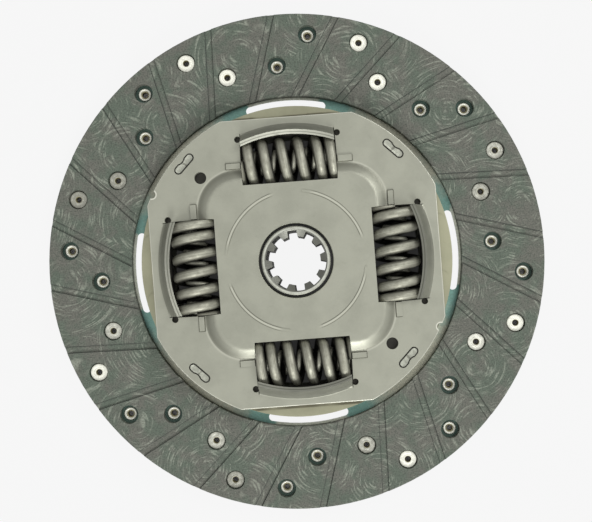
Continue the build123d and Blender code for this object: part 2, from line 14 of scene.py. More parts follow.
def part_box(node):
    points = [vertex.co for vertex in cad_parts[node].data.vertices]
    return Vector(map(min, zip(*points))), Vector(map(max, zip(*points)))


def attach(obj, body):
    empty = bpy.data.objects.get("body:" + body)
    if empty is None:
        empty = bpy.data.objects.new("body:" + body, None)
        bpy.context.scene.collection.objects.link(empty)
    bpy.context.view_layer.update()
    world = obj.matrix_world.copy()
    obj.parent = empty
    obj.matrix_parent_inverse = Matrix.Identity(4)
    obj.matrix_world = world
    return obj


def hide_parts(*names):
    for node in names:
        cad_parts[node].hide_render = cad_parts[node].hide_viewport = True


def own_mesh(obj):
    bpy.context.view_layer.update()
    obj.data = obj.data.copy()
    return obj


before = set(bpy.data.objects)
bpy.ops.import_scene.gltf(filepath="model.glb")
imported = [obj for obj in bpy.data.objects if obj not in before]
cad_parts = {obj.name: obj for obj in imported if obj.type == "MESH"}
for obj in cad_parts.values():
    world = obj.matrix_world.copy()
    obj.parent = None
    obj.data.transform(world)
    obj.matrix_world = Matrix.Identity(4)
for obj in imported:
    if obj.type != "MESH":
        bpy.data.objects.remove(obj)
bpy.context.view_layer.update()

log = logging.getLogger("clutch_disc")

MM = 0.001
WELD = 1e-6
QUARTER = math.pi / 2
WINDOW_ANGLE = math.radians(4.3)
# The number that a piece's faces give to its second material.
SECOND = 1

Colour = tuple[float, float, float]
Span = tuple[float, float]
Value = Union[float, Colour, bpy.types.NodeSocket]
# The rivets' two rings, and where the heads of each facing's rivets are seated, in millimetres.
OUTER_RING, INNER_RING = 110.1, 95.3
FRONT_SEAT, REAR_SEAT = 7.1, 5.5
# How strongly each rivet of a ring is painted with a highlight, counter-clockwise.
FRONT_OUTER_GLINT = (0.3, 1.0, 1.0, 0.05, 0.95, 0.1, 0.9, 1.0)
FRONT_INNER_GLINT = (0.2, 1.0, 1.0, 0.05, 0.4, 0.35, 0.25, 0.75)
REAR_GLINT = (1.0, 0.95, 0.9, 0.85, 0.95, 0.9, 0.85, 0.95)


class Body(Enum):
    """The rigid bodies that the new pieces ride on."""

    DISC = "disc"
    SPRINGS = "springs"


class Slot(Enum):
    """The names of the record's material slots."""

    LINING = "friction_lining"
    RIVET = "rivet_steel"
    PLATE = "plate_steel"
    TAB = "tab_steel"
    COIL = "coil_steel"


class PlateFace(Enum):
    """The numbers that a side plate's faces give to its further materials."""

    CUT_EDGE_HIGHLIGHT = 1
    SHADED_RIB_WALL = 2
    SHADED_LIP_BEND = 3
    LIP_EDGE = 4


class Hand(Enum):
    """The hand of a coil, as the sign of its turn."""

    RIGHT = 1
    LEFT = -1


def srgb(red: int, green: int, blue: int) -> Colour:
    """A screen colour as linear light.

    Args:
        red: Red, 0 to 255.
        green: Green, 0 to 255.
        blue: Blue, 0 to 255.

    Returns:
        The linear colour.
    """

    def linear(part: int) -> float:
        """One channel, made linear."""
        share = part / 255
        return share / 12.92 if share <= 0.04045 else ((share + 0.055) / 1.055) ** 2.4

    return linear(red), linear(green), linear(blue)


# Finishes


class Shader:
    """One node material on a Principled surface, with its patterns in millimetres of object space."""

    def __init__(self, name: str) -> None:
        """Starts an empty material.

        Args:
            name: The material's name.
        """
        self.material = bpy.data.materials.new(name)
        self.material.use_nodes = True
        self.tree = self.material.node_tree
        self.tree.nodes.clear()
        self.output = self.tree.nodes.new("ShaderNodeOutputMaterial")
        self.surface = self.tree.nodes.new("ShaderNodeBsdfPrincipled")
        self.tree.links.new(self.surface.outputs[0], self.output.inputs[0])
        self.place = self.mapped(1 / MM)

    def add(self, kind: str, values: dict[Union[int, str], Value], **settings: object) -> bpy.types.Node:
        """Adds a node.

        Args:
            kind: The node's type.
            values: What goes into its inputs: a number, a colour, or another node's output.
            **settings: The node's own properties.

        Returns:
            The node.
        """
        node = self.tree.nodes.new(kind)
        for name, setting in settings.items():
            setattr(node, name, setting)
        for key, value in values.items():
            self.feed(node.inputs[key], value)
        return node

    def feed(self, socket: bpy.types.NodeSocket, value: Value) -> None:
        """Links an output to a socket, or sets the socket's own value.

        Args:
            socket: The input.
            value: A number, a colour or another node's output.
        """
        if isinstance(value, bpy.types.NodeSocket):
            self.tree.links.new(value, socket)
        elif isinstance(value, tuple) and socket.type == "RGBA":
            socket.default_value = (*value, 1)
        else:
            socket.default_value = value

    def mapped(self, scale: float, turn: float = 0.0) -> bpy.types.NodeSocket:
        """Object coordinates, scaled and turned about Z.

        Args:
            scale: What the coordinates are multiplied by.
            turn: The angle about Z, in radians.

        Returns:
            The vector output.
        """
        coordinates = self.tree.nodes.new("ShaderNodeTexCoord").outputs["Object"]
        values = {"Vector": coordinates, "Scale": (scale, scale, scale), "Rotation": (0, 0, turn)}
        return self.add("ShaderNodeMapping", values).outputs[0]

    def noise(
        self, size: float, detail: float = 2.0, rough: float = 0.5, **more: Value
    ) -> bpy.types.NodeSocket:
        """A noise pattern with patches of a size in millimetres, and finer layers."""
        values = {"Vector": self.place, "Scale": 1 / size, "Detail": detail, "Roughness": rough, **more}
        return self.add("ShaderNodeTexNoise", values).outputs[0]

    def cells(self, size: float, output: str = "Distance", **more: Value) -> bpy.types.NodeSocket:
        """One output of a pattern of scattered cells, of a size in millimetres."""
        values = {"Vector": self.place, "Scale": 1 / size, **more}
        return self.add("ShaderNodeTexVoronoi", values).outputs[output]

    def step(
        self, value: Value, low: float, high: float, start: float = 0.0, end: float = 1.0
    ) -> bpy.types.NodeSocket:
        """Maps the range from low to high smoothly to the one from start to end."""
        values = {"Value": value, "From Min": low, "From Max": high, "To Min": start, "To Max": end}
        return self.add("ShaderNodeMapRange", values, interpolation_type="SMOOTHSTEP").outputs[0]

    def maths(self, operation: str, first: Value, *others: Value) -> bpy.types.NodeSocket:
        """Arithmetic on numbers, one after another.

        Args:
            operation: The Math node's operation.
            first: The first number.
            *others: The numbers that follow it, if the operation takes any.

        Returns:
            The result output.
        """
        for other in others or (0.0,):
            first = self.add("ShaderNodeMath", {0: first, 1: other}, operation=operation).outputs[0]
        return first

    def apart(self, first: Value, second: Value) -> bpy.types.NodeSocket:
        """How far one number is from another."""
        return self.maths("ABSOLUTE", self.maths("SUBTRACT", first, second))

    def vector(self, operation: str, *values: Value) -> bpy.types.NodeSocket:
        """Arithmetic on vectors; a length or a distance comes out as a number."""
        outputs = self.add("ShaderNodeVectorMath", dict(enumerate(values)), operation=operation).outputs
        return outputs["Value" if operation in ("LENGTH", "DISTANCE") else "Vector"]

    def flat(self, place: Optional[Value] = None) -> bpy.types.NodeSocket:
        """A place, the material's own if none is given, with its height left out."""
        return self.vector("MULTIPLY", self.place if place is None else place, (1, 1, 0))

    def parts(self, place: Value) -> bpy.types.bpy_prop_collection:
        """The X, Y and Z of a vector, by name."""
        return self.add("ShaderNodeSeparateXYZ", {0: place}).outputs

    def tilt(self) -> bpy.types.NodeSocket:
        """How far the surface faces up, from -1 to 1."""
        return self.parts(self.add("ShaderNodeTexCoord", {}).outputs["Normal"])["Z"]

    def slant(self, place: Value, length: Value) -> bpy.types.NodeSocket:
        """How near a direction is to halfway between the X and Y axes.

        Args:
            place: The place that the direction points to.
            length: Its distance from the disc's axis.

        Returns:
            The result output, 0 along X or Y and 0.5 halfway between them.
        """
        parts = self.parts(place)
        across = self.maths("MULTIPLY", parts["X"], parts["Y"])
        square = self.maths("MULTIPLY", length, length)
        return self.maths("ABSOLUTE", self.maths("DIVIDE", across, square))

    def blend(self, share: Value, first: Value, second: Value) -> bpy.types.NodeSocket:
        """Mixes two colours, with a share of the second."""
        values = {0: share, 6: first, 7: second}
        return self.add("ShaderNodeMix", values, data_type="RGBA").outputs[2]

    def relief(self, height: Value, depth: float, under: Optional[Value] = None) -> bpy.types.NodeSocket:
        """A bump from a height pattern.

        Args:
            height: The pattern.
            depth: The height of a full step, in millimetres.
            under: Another bump that this one lies on.

        Returns:
            The normal output.
        """
        values = {"Height": height, "Distance": depth * MM, "Strength": 1.0}
        if under is not None:
            values["Normal"] = under
        return self.add("ShaderNodeBump", values).outputs[0]

    def finish(self, **values: Value) -> bpy.types.Material:
        """Feeds the surface's inputs, named with an underscore for each space, and gives the material."""
        for name, value in values.items():
            self.feed(self.surface.inputs[name.replace("_", " ")], value)
        return self.material


@dataclass(frozen=True)
class FrictionLining:
    """Moulded yarn lining: mottled grey, with swirls of light fibre and bright specks."""

    name: str = "moulded_friction_lining"
    green: Colour = srgb(97, 107, 95)
    brown: Colour = srgb(108, 108, 100)
    dark: Colour = srgb(64, 70, 62)
    fibre: Colour = srgb(176, 182, 166)
    swirl_size: float = 32.0
    mottle_size: float = 13.0
    grain_size: float = 0.7
    swirl_eye: Span = (3.0, 6.0)
    strand_bend: float = 2.1
    strand_pitch: float = 1.45

    def build(self) -> bpy.types.Material:
        """Makes the material.

        Returns:
            The material.
        """
        paint = Shader(self.name)
        flat = paint.flat()
        local = paint.vector("SUBTRACT", flat, paint.cells(self.swirl_size, "Position", Vector=flat))
        length = paint.vector("LENGTH", local)
        bend = (self.strand_bend, self.strand_bend, 0)
        around = paint.vector("MULTIPLY", paint.vector("NORMALIZE", local), bend)
        out = paint.add("ShaderNodeCombineXYZ", {"Z": paint.maths("MULTIPLY", length, self.strand_pitch)})
        strand = paint.noise(1.0, 1.0, 0.5, Vector=paint.vector("ADD", around, out.outputs[0]))
        group = paint.noise(9.0, 1.0)
        fleck = paint.noise(0.9, 2.0, 0.6)
        streak = paint.maths(
            "MULTIPLY",
            paint.step(strand, 0.51, 0.68),
            paint.step(group, 0.34, 0.56),
            paint.step(length, *self.swirl_eye),
            paint.step(fleck, 0.34, 0.56, 0.3, 1.0),
        )
        speck = paint.step(paint.cells(2.6), 0.10, 0.03)
        speck = paint.maths("MULTIPLY", speck, paint.step(paint.noise(3.0), 0.45, 0.60))
        mottle = paint.step(paint.noise(self.mottle_size, 3.0, 0.6), 0.38, 0.62)
        grain = paint.noise(self.grain_size, 3.0, 0.65)
        colour = paint.blend(mottle, self.green, self.brown)
        colour = paint.blend(paint.step(grain, 0.30, 0.62, 0.75, 0.0), colour, self.dark)
        colour = paint.blend(paint.maths("MULTIPLY", streak, 0.42), colour, self.fibre)
        colour = paint.blend(paint.maths("MULTIPLY", speck, 0.75), colour, self.fibre)
        height = paint.maths("ADD", grain, paint.maths("MULTIPLY", streak, 0.5))
        return paint.finish(
            Base_Color=colour,
            Roughness=paint.step(grain, 0.2, 0.8, 0.62, 0.84),
            Normal=paint.relief(height, 0.10),
            Specular_IOR_Level=0.35,
        )


@dataclass(frozen=True)
class Metal:
    """Worked steel: its own colour, a mottle, fine grain and faint handling marks."""

    name: str
    colour: Colour
    shade: Colour
    metallic: float = 0.55
    roughness: float = 0.45
    mottle_size: float = 16.0
    grain_size: float = 0.6
    grain_depth: float = 0.012
    mark: float = 0.25

    def build(self) -> bpy.types.Material:
        """Makes the material.

        Returns:
            The material.
        """
        paint = Shader(self.name)
        mottle = paint.step(paint.noise(self.mottle_size, 4.0, 0.6), 0.35, 0.68)
        grain = paint.noise(self.grain_size, 2.0, 0.6)
        scuff = paint.step(paint.noise(4.0, 5.0, 0.75, Distortion=1.2), 0.56, 0.72)
        worn = paint.maths("MULTIPLY", scuff, self.mark)
        speckle = paint.step(grain, 0.2, 0.8, 0.12, -0.05)
        share = paint.maths("ADD", paint.maths("MULTIPLY", mottle, 0.6), worn, speckle)
        rough = paint.maths("MULTIPLY", grain, 0.12)
        rough = paint.maths("ADD", rough, paint.maths("MULTIPLY", scuff, 0.08), self.roughness - 0.06)
        return paint.finish(
            Base_Color=self.mark_out(paint, paint.blend(share, self.colour, self.shade)),
            Metallic=self.metallic,
            Roughness=rough,
            Normal=paint.relief(grain, self.grain_depth),
        )

    def mark_out(self, paint: Shader, colour: bpy.types.NodeSocket) -> bpy.types.NodeSocket:
        """Adds what is particular to one kind of part to its colour; plain steel has nothing."""
        return colour


@dataclass(frozen=True)
class BeadedSteel(Metal):
    """The side plates' steel, with painted highlights and shade on its beads, raised centre, rim and notches.

    With a lap distance it is the rear plate's: it has no beads and no rim highlight, but a painted
    shadow along two of the front plate's flats and behind its notches. Spans and radii are in millimetres.
    """

    bead_radius: float = 33.2
    bead_reach: Span = (0.23, 0.33)
    bead_crest: Span = (0.50, 0.30)
    bead_foot: float = 0.72
    foot_line: Span = (0.26, 0.10)
    dome_foot: float = 44.8
    dome_corner: float = 18.7
    slope_shade: Span = (-3.8, -0.4)
    slope_end: Span = (0.25, 0.0)
    foot_highlight: Span = (0.1, 0.5)
    foot_highlight_end: Span = (1.4, 0.6)
    crest_highlight: Colour = srgb(214, 214, 198)
    foot_shade: Colour = srgb(104, 104, 92)
    rim_highlight: Colour = srgb(226, 226, 212)
    flat_rim: Span = (68.25, 68.4)
    round_rim: Span = (75.05, 75.2)
    rim_radius: float = 75.5
    notch_angle: float = math.radians(-28.8)
    notch_rim: Span = (2.5, 2.3)
    notch_shadow: Span = (5.0, 3.6)
    lap_distance: float = 0.0
    lap_start: Span = (-0.3, 0.0)
    lap_end: Span = (1.4, 0.7)
    lap_shadow: Colour = srgb(84, 80, 62)

    def mark_out(self, paint: Shader, colour: bpy.types.NodeSocket) -> bpy.types.NodeSocket:
        """Marks beads, raised centre, rim and notches.

        Args:
            paint: The material's nodes.
            colour: The steel's colour.

        Returns:
            The colour with its marks.
        """
        turned = paint.mapped(1 / MM, -WINDOW_ANGLE)
        flat = paint.flat(turned)
        folded = paint.vector("ABSOLUTE", flat)
        length = paint.vector("LENGTH", flat)
        notch = polar(self.rim_radius, self.notch_angle) / MM
        near, far = (paint.vector("DISTANCE", flat, tuple(place)) for place in (notch, -notch))
        near = paint.maths("MINIMUM", near, far)
        if self.lap_distance:
            return self.shade_lap(paint, self.shade_dome(paint, colour, folded), folded, near)
        colour = self.line_beads(paint, colour, length, paint.slant(turned, length))
        colour = self.shade_dome(paint, colour, folded)
        parts = paint.parts(folded)
        # A painted highlight along the rim's flats and arcs and round the notches.
        worn = paint.step(paint.maths("MAXIMUM", parts["X"], parts["Y"]), *self.flat_rim)
        worn = paint.maths(
            "MAXIMUM", worn, paint.step(length, *self.round_rim), paint.step(near, *self.notch_rim)
        )
        return paint.blend(paint.maths("MULTIPLY", worn, 0.8), colour, self.rim_highlight)

    def line_beads(self, paint: Shader, colour: Value, length: Value, slant: Value) -> bpy.types.NodeSocket:
        """Paints a highlight on the crests of the pressed beads and a shade along their feet.

        Args:
            paint: The material's nodes.
            colour: The colour so far.
            length: The distance from the disc's axis.
            slant: How near the direction is to halfway between two windows.

        Returns:
            The colour with its marks.
        """
        reach = paint.step(slant, *self.bead_reach)
        away = paint.apart(length, self.bead_radius)
        crest_highlight = paint.maths("MULTIPLY", paint.step(away, *self.bead_crest), reach, 0.55)
        foot_shade = paint.step(paint.apart(away, self.bead_foot), *self.foot_line)
        colour = paint.blend(crest_highlight, colour, self.crest_highlight)
        return paint.blend(paint.maths("MULTIPLY", foot_shade, reach, 0.6), colour, self.foot_shade)

    def shade_dome(self, paint: Shader, colour: Value, folded: Value) -> bpy.types.NodeSocket:
        """Paints a shade on the raised centre's slope and a highlight line along its foot.

        Args:
            paint: The material's nodes.
            colour: The colour so far.
            folded: The place, folded into one quarter.

        Returns:
            The colour with its marks.
        """
        straight = self.dome_foot - self.dome_corner
        corner = paint.vector("SUBTRACT", folded, (straight, straight, 0))
        out = paint.vector("LENGTH", paint.vector("MAXIMUM", corner, (0, 0, 0)))
        out = paint.maths("SUBTRACT", out, self.dome_corner)
        shaded = paint.step(out, *self.slope_shade, 0.0, 0.48)
        shaded = paint.maths("MULTIPLY", shaded, paint.step(out, *self.slope_end))
        highlight_mask = paint.step(out, *self.foot_highlight_end, 0.0, 0.35)
        highlight_mask = paint.maths("MULTIPLY", paint.step(out, *self.foot_highlight), highlight_mask)
        return paint.blend(highlight_mask, paint.blend(shaded, colour, self.foot_shade), self.crest_highlight)

    def shade_lap(self, paint: Shader, colour: Value, folded: Value, near: Value) -> bpy.types.NodeSocket:
        """Paints a shadow along two of the front plate's flats and behind its notches, on what faces up.

        Args:
            paint: The material's nodes.
            colour: The colour so far.
            folded: The place, folded into one quarter.
            near: The distance from the nearer notch.

        Returns:
            The colour with its marks.
        """
        beyond = paint.maths("SUBTRACT", paint.parts(folded)["Y"], self.lap_distance)
        line = paint.maths("MULTIPLY", paint.step(beyond, *self.lap_start), paint.step(beyond, *self.lap_end))
        line = paint.maths("MULTIPLY", line, paint.step(paint.noise(14.0), 0.35, 0.6, 0.25, 0.8))
        lap = paint.maths("MAXIMUM", line, paint.step(near, *self.notch_shadow, 0.0, 0.85))
        lap = paint.maths("MULTIPLY", lap, paint.step(paint.tilt(), 0.5, 0.8))
        return paint.blend(lap, colour, self.lap_shadow)


@dataclass(frozen=True)
class LippedEdge(Metal):
    """The sheared edge of a window's lip, with the break line of the shear along its middle."""

    line_radius: float = 60.65
    line_width: Span = (0.30, 0.14)
    line: Colour = srgb(92, 92, 82)

    def mark_out(self, paint: Shader, colour: bpy.types.NodeSocket) -> bpy.types.NodeSocket:
        """Draws the break line on the edge's colour."""
        away = paint.apart(paint.vector("LENGTH", paint.flat()), self.line_radius)
        return paint.blend(paint.step(away, *self.line_width, 0.0, 0.75), colour, self.line)


@dataclass(frozen=True)
class StakedSteel(Metal):
    """The tabs' steel, with a painted shade across the waist where the staking punch left a crease."""

    crease_width: Span = (0.55, 0.1)
    crease_shade: Colour = srgb(112, 112, 101)

    def mark_out(self, paint: Shader, colour: bpy.types.NodeSocket) -> bpy.types.NodeSocket:
        """Draws the crease's painted shade.

        Args:
            paint: The material's nodes.
            colour: The steel's colour.

        Returns:
            The colour with its marks.
        """
        turned = paint.mapped(1 / MM, -WINDOW_ANGLE - QUARTER / 2)
        parts = paint.parts(paint.vector("ABSOLUTE", turned))
        wander = paint.step(paint.noise(2.2), 0.3, 0.7, -0.35, 0.35)
        across = paint.maths("ADD", paint.maths("MINIMUM", parts["X"], parts["Y"]), wander)
        return paint.blend(paint.step(across, *self.crease_width, 0.0, 0.75), colour, self.crease_shade)


@dataclass(frozen=True)
class HeatTintedSheet:
    """Hardened spring sheet: teal temper colour that turns grey towards the tab directions, painted dark as
    shade under the facings.
    """

    name: str = "tempered_spring_sheet"
    teal: Colour = srgb(118, 158, 148)
    grey: Colour = srgb(188, 187, 168)
    band: Colour = srgb(202, 204, 188)
    shade_under_facing: Colour = srgb(84, 104, 94)
    speckle: Colour = srgb(86, 104, 98)
    band_from: Span = (78.6, 79.3)
    facing_shade_from: Span = (81.0, 83.0)

    def build(self) -> bpy.types.Material:
        """Makes the material.

        Returns:
            The material.
        """
        paint = Shader(self.name)
        turned = paint.mapped(1 / MM, -WINDOW_ANGLE)
        length = paint.vector("LENGTH", turned)
        cloud = paint.noise(9.0, 3.0, 0.6)
        slant = paint.slant(turned, length)
        slant = paint.maths("ADD", slant, paint.step(cloud, 0.2, 0.8, -0.05, 0.05))
        rim = paint.maths("MULTIPLY", paint.step(length, *self.band_from), paint.step(slant, 0.24, 0.20))
        grain = paint.noise(0.7, 2.0, 0.6)
        colour = paint.blend(paint.step(slant, 0.30, 0.46), self.teal, self.grey)
        colour = paint.blend(rim, colour, self.band)
        colour = paint.blend(paint.step(length, *self.facing_shade_from), colour, self.shade_under_facing)
        colour = paint.blend(paint.step(grain, 0.3, 0.7, 0.35, 0.0), colour, self.speckle)
        return paint.finish(
            Base_Color=colour,
            Metallic=0.55,
            Roughness=paint.step(cloud, 0.2, 0.8, 0.38, 0.52),
            Normal=paint.relief(grain, 0.01),
        )


@dataclass(frozen=True)
class DrawnWire:
    """Oil-tempered wire with die marks along it and its flanks painted dark as shade; it reads the coil's own
    "wire" map.
    """

    name: str = "oil_tempered_wire"
    colour: Colour = srgb(184, 184, 168)
    shade: Colour = srgb(146, 145, 131)
    flank_shade: Colour = srgb(62, 61, 54)
    roughness: float = 0.55

    def build(self) -> bpy.types.Material:
        """Makes the material.

        Returns:
            The material.
        """
        paint = Shader(self.name)
        wire = paint.add("ShaderNodeAttribute", {}, attribute_name="wire").outputs["Vector"]
        die_marks = paint.noise(0.16, 3.0, 0.6, Vector=wire)
        cloud = paint.noise(3.0, 3.0, 0.6)
        grain = paint.noise(0.4, 2.0, 0.6)
        share = paint.step(paint.maths("ADD", die_marks, paint.maths("MULTIPLY", cloud, 0.6)), 0.62, 1.0)
        # The wire's outer crown keeps the steel's colour; its flanks take the painted shade.
        crown = paint.maths("ADD", paint.parts(wire)["X"], paint.step(cloud, 0.3, 0.7, -0.08, 0.08))
        highlight_mask = paint.step(crown, 0.30, 0.96)
        return paint.finish(
            Base_Color=paint.blend(highlight_mask, self.flank_shade, paint.blend(share, self.colour, self.shade)),
            Metallic=0.6,
            Roughness=paint.step(cloud, 0.25, 0.75, self.roughness - 0.06, self.roughness + 0.1),
            Normal=paint.relief(die_marks, 0.03, paint.relief(grain, 0.01)),
        )


@dataclass(frozen=True)
class RivetSteel:
    """Plated rivet steel; each rivet's own "glint" sets the strength of a painted highlight on it."""

    name: str = "plated_rivet_steel"
    bright: Colour = srgb(246, 246, 232)
    dull: Colour = srgb(150, 150, 138)

    def build(self) -> bpy.types.Material:
        """Makes the material.

        Returns:
            The material.
        """
        paint = Shader(self.name)
        glint = paint.add("ShaderNodeAttribute", {}, attribute_name="glint").outputs["Fac"]
        grain = paint.noise(0.45, 3.0, 0.65)
        cloud = paint.noise(1.6, 3.0, 0.6)
        share = paint.maths("ADD", glint, paint.step(cloud, 0.3, 0.7, -0.22, 0.16))
        return paint.finish(
            Base_Color=paint.blend(share, self.dull, self.bright),
            Metallic=0.25,
            Roughness=paint.step(cloud, 0.2, 0.8, 0.34, 0.5),
            Normal=paint.relief(grain, 0.02),
        )


@dataclass(frozen=True)
class HubSteel:
    """A forged hub: its neck turned bright, its flange coloured dark, and its spline's walls painted dark as
    shade.
    """

    name: str = "forged_hub_steel"
    turned: Colour = srgb(212, 214, 202)
    worn: Colour = srgb(184, 185, 172)
    tooth: Colour = srgb(138, 139, 130)
    wall_shade: Colour = srgb(50, 50, 43)
    flange: Colour = srgb(62, 61, 55)
    bore_edge: Span = (15.0, 14.75)
    neck_edge: Span = (17.2, 18.2)

    def build(self) -> bpy.types.Material:
        """Makes the material.

        Returns:
            The material.
        """
        paint = Shader(self.name)
        length = paint.vector("LENGTH", paint.flat())
        outward = paint.add("ShaderNodeCombineXYZ", {"X": length}).outputs[0]
        rings = paint.noise(0.22, 2.0, 0.6, Vector=outward)
        cloud = paint.noise(3.0, 4.0, 0.65)
        grain = paint.noise(0.5, 2.0, 0.6)
        colour = paint.blend(paint.step(cloud, 0.35, 0.7), self.turned, self.worn)
        colour = paint.blend(paint.step(rings, 0.3, 0.7, 0.0, 0.25), colour, self.worn)
        inside = paint.step(length, *self.bore_edge)
        steep = paint.step(paint.tilt(), 0.35, 0.15)
        colour = paint.blend(inside, colour, paint.blend(steep, self.tooth, self.wall_shade))
        colour = paint.blend(paint.step(length, *self.neck_edge), colour, self.flange)
        # Painted shade on the spline's steep walls, which are also made matt and less metallic.
        dark_inside = paint.maths("MULTIPLY", inside, steep)
        rough = paint.step(cloud, 0.2, 0.8, 0.34, 0.5)
        rough = paint.maths("ADD", rough, paint.maths("MULTIPLY", dark_inside, 0.4))
        return paint.finish(
            Base_Color=colour,
            Metallic=paint.step(dark_inside, 0.0, 1.0, 0.6, 0.1),
            Roughness=rough,
            Normal=paint.relief(rings, 0.012, paint.relief(grain, 0.012)),
        )


@dataclass(frozen=True)
class MouldedPolymer:
    """Near-black bush plastic with a fine moulded grain."""

    name: str = "moulded_bush_polymer"
    colour: Colour = srgb(14, 14, 12)
    speckle: Colour = srgb(24, 24, 21)

    def build(self) -> bpy.types.Material:
        """Makes the material.

        Returns:
            The material.
        """
        paint = Shader(self.name)
        grain = paint.noise(0.35, 2.0, 0.6)
        return paint.finish(
            Base_Color=paint.blend(paint.step(grain, 0.3, 0.7, 0.0, 0.4), self.colour, self.speckle),
            Roughness=paint.step(grain, 0.2, 0.8, 0.62, 0.8),
            Normal=paint.relief(grain, 0.015),
        )


class Finishes:
    """Every finish of the clutch disc, built once."""

    def __init__(self) -> None:
        """Builds the materials."""
        matt = {"metallic": 0.0, "roughness": 0.8, "grain_depth": 0.05}
        self.lining = FrictionLining().build()
        # The grooves' sides and broken edges, painted dark as shade.
        self.groove_edge_shade = Metal("lining_groove_shade", srgb(58, 62, 58), srgb(74, 77, 72), **matt).build()
        self.spring_sheet = HeatTintedSheet().build()
        self.plate = BeadedSteel("pressed_plate_steel", srgb(172, 173, 158), srgb(156, 157, 143)).build()
        # The half-sheared rib walls, painted dark as shade.
        self.shaded_rib_wall = Metal("half_sheared_wall_shade", srgb(112, 112, 100), srgb(88, 88, 78)).build()
        yellowed = srgb(176, 175, 148), srgb(158, 157, 132)
        self.rear_plate = BeadedSteel("pressed_rear_plate_steel", *yellowed, lap_distance=70.1).build()
        # The lips' bends, painted dark as shade.
        bend = srgb(134, 135, 122), srgb(112, 113, 102)
        self.shaded_lip_bend = Metal("shaded_lip_bend_steel", *bend, metallic=0.3, roughness=0.75).build()
        self.lip_edge = LippedEdge("sheared_lip_edge", srgb(150, 151, 139), srgb(132, 133, 122)).build()
        # Bright sheared steel for broken edges, lightened further as a painted highlight.
        self.cut_edge_highlight = Metal("sheared_plate_edge_highlight", srgb(222, 222, 207), srgb(196, 196, 181)).build()
        self.ring = Metal("ground_ring_steel", srgb(150, 150, 140), srgb(120, 120, 110)).build()
        staked = srgb(186, 188, 174), srgb(146, 148, 136)
        self.tab = StakedSteel("staked_tab_steel", *staked, roughness=0.45, mottle_size=1.6).build()
        self.hub = HubSteel().build()
        # The tabs' seams and end sides, painted dark as shade.
        self.seam = Metal("stake_seam_shade", srgb(46, 45, 40), srgb(62, 61, 55), roughness=0.6).build()
        self.wire = DrawnWire().build()
        self.rivet = RivetSteel().build()
        dark_inside = srgb(142, 136, 104), srgb(104, 98, 68)
        self.rivet_bore = Metal("oiled_rivet_bore", *dark_inside, metallic=0.3, mottle_size=1.5).build()
        self.polymer = MouldedPolymer().build()
        brown = srgb(92, 84, 72), srgb(70, 66, 58)
        self.washer = Metal("organic_friction_washer", *brown, metallic=0.0, roughness=0.75).build()


# Mesh helpers


def polar(radius: float, angle: float, height: float = 0.0) -> Vector:
    """A point round the disc's axis.

    Args:
        radius: The distance from the axis, in millimetres.
        angle: The angle from +X, in radians.
        height: The height, in millimetres.

    Returns:
        The point, in metres.
    """
    return Vector((radius * math.cos(angle), radius * math.sin(angle), height)) * MM


def place_piece(
    mesh: bmesh.types.BMesh,
    name: str,
    body: Body,
    finishes: Sequence[bpy.types.Material],
    stands_for: Sequence[str],
    smooth_angle: float = 35.0,
) -> bpy.types.Object:
    """Turns a mesh into a piece of the clutch disc.

    Args:
        mesh: The mesh, in place; it is freed.
        name: The piece's name.
        body: The body that it rides on.
        finishes: Its materials, in the order of its faces' numbers.
        stands_for: The CAD nodes that it replaces.
        smooth_angle: Edges sharper than this, in degrees, stay sharp.

    Returns:
        The piece.
    """
    data = bpy.data.meshes.new(name)
    for face in mesh.faces:
        face.smooth = True
    for edge in mesh.edges:
        edge.smooth = not edge.is_manifold or edge.calc_face_angle() < math.radians(smooth_angle)
    mesh.to_mesh(data)
    mesh.free()
    for finish in finishes:
        data.materials.append(finish)
    piece = bpy.data.objects.new(name, data)
    bpy.context.scene.collection.objects.link(piece)
    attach(piece, body.value)
    if stands_for:
        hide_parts(*stands_for)
    log.info("%s: %d faces on %s", name, len(data.polygons), body.value)
    return piece


def node_mesh(node: str) -> bmesh.types.BMesh:
    """A CAD node's mesh as a welded copy.

    Args:
        node: The node's name.

    Returns:
        The mesh.
    """
    mesh = bmesh.new()
    mesh.from_mesh(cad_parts[node].data)
    bmesh.ops.remove_doubles(mesh, verts=mesh.verts[:], dist=WELD)
    return mesh


def merge_flats(mesh: bmesh.types.BMesh) -> None:
    """Makes each flat area of a mesh one face.

    Args:
        mesh: The mesh.
    """
    limit = math.radians(0.5)
    bmesh.ops.dissolve_limit(
        mesh, angle_limit=limit, verts=mesh.verts[:], edges=mesh.edges[:], use_dissolve_boundaries=False
    )


def lathe(profile: Sequence[Span], steps: int) -> bmesh.types.BMesh:
    """Turns a closed profile round the Z axis.

    Args:
        profile: Radius and height of each point, in millimetres.
        steps: The number of steps in the turn.

    Returns:
        The mesh.
    """
    mesh = bmesh.new()
    points = [mesh.verts.new(Vector((radius, 0, height)) * MM) for radius, height in profile]
    edges = [mesh.edges.new((first, second)) for first, second in zip(points, points[1:] + points[:1])]
    bmesh.ops.spin(
        mesh, geom=points + edges, cent=(0, 0, 0), axis=(0, 0, 1), angle=math.tau, steps=steps, use_merge=True
    )
    bmesh.ops.remove_doubles(mesh, verts=mesh.verts[:], dist=WELD)
    bmesh.ops.recalc_face_normals(mesh, faces=mesh.faces[:])
    return mesh


